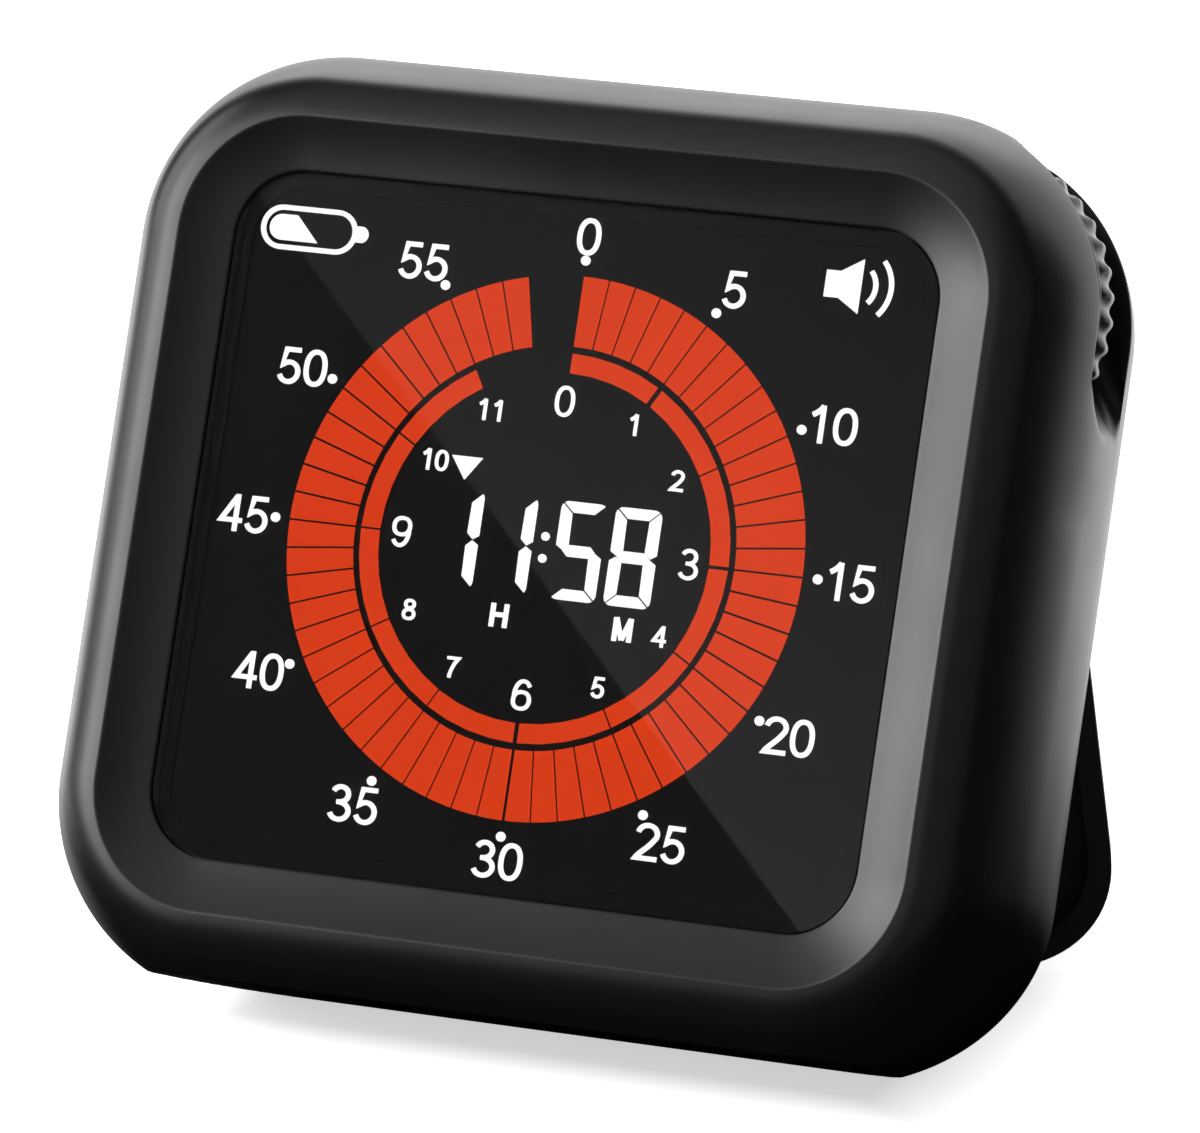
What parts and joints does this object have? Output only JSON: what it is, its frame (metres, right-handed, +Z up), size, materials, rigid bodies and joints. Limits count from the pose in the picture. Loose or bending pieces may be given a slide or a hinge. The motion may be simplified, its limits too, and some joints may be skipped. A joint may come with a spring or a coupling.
{
  "type": "kitchen timer",
  "caption": "Black visual countdown timer with an orange ring display, a knurled setting wheel in its corner and a hinged rear stand",
  "frame": {"origin": "middle of the heel's land, where the casing's lower rear edge stands on the floor", "axes": "+X to the right as the display is read, +Y backwards, away from the reader, +Z up; the display faces -Y and leans back"},
  "size_m": [0.0886, 0.058, 0.0825],
  "materials": {
    "housing_black": "fine satin texture, moulded",
    "cover_black": "fine satin texture, moulded",
    "stand_black": "fine satin texture, moulded",
    "tape_black": "black adhesive film",
    "lens_smoke": "polished clear sheet",
    "lit_orange": "evenly lit display film",
    "lit_white": "evenly lit display film",
    "panel_black": "black display panel",
    "guide_clear": "clear moulded sheet with a dot pattern",
    "tray_white": "white moulded tray",
    "board_green": "solder mask over copper",
    "chip_black": "moulded package",
    "encoder_grey": "moulded",
    "switch_ivory": "moulded",
    "wheel_black": "moulded, knurled edge",
    "key_black": "moulded, smooth",
    "screw_steel": "zinc plated",
    "socket_steel": "drawn shell, bright",
    "magnet_nickel": "nickel plated",
    "sounder_black": "moulded case",
    "foam_grey": "closed cell foam tape",
    "cell_silver": "laminated foil pouch"
  },
  "bodies": {
    "casing": {"front_housing": "housing_black", "lens_tape": "tape_black", "display_lens": "lens_smoke", "ring_segments": "lit_orange", "time_digits": "lit_white", "minute_dots": "lit_white", "lcd_panel": "panel_black", "light_guide": "guide_clear", "display_tray": "tray_white", "main_board": "board_green", "board_screws": "screw_steel", "controller_chip": "chip_black", "encoder_base": "encoder_grey", "press_switch": "switch_ivory", "usb_socket": "socket_steel", "rear_cover": "cover_black", "case_screws": "screw_steel", "magnets": "magnet_nickel", "buzzer": "sounder_black", "rear_board": "board_green", "rear_board_screws": "screw_steel", "volume_switch": "switch_ivory", "mode_switch": "switch_ivory", "battery_pad": "foam_grey", "battery_cell": "cell_silver", "hinge_pins": "screw_steel"},
    "carriage": {"wheel_carriage": "switch_ivory", "wheel_screw": "screw_steel"},
    "wheel": {"thumb_wheel": "wheel_black"},
    "slider": {"volume_slider": "key_black"},
    "button": {"mode_button": "key_black"},
    "stand": {"kickstand": "stand_black"}
  },
  "joints": [
    {"name": "wheel_press", "type": "slide", "parent": "casing", "child": "carriage", "axis": [-0.9385, -0.136, -0.3174], "range_m": [0, 0.0006], "stiffness_N_per_m": 2500},
    {"name": "wheel_spin", "type": "hinge", "parent": "carriage", "child": "wheel", "pos_m": [0.029, 0.01155, 0.06585], "axis": [0, -0.9191, 0.3939], "continuous": true},
    {"name": "volume_slide", "type": "slide", "parent": "casing", "child": "slider", "axis": [1, 0, 0], "range_m": [-0.002, 0.002]},
    {"name": "mode_press", "type": "slide", "parent": "casing", "child": "button", "axis": [0, -0.9191, 0.3939], "range_m": [0, 0.0005], "stiffness_N_per_m": 2000},
    {"name": "stand_fold", "type": "hinge", "parent": "casing", "child": "stand", "pos_m": [0, 0.01774, 0.03371], "axis": [-1, 0, 0], "range_deg": [0, 42.8]}
  ]
}
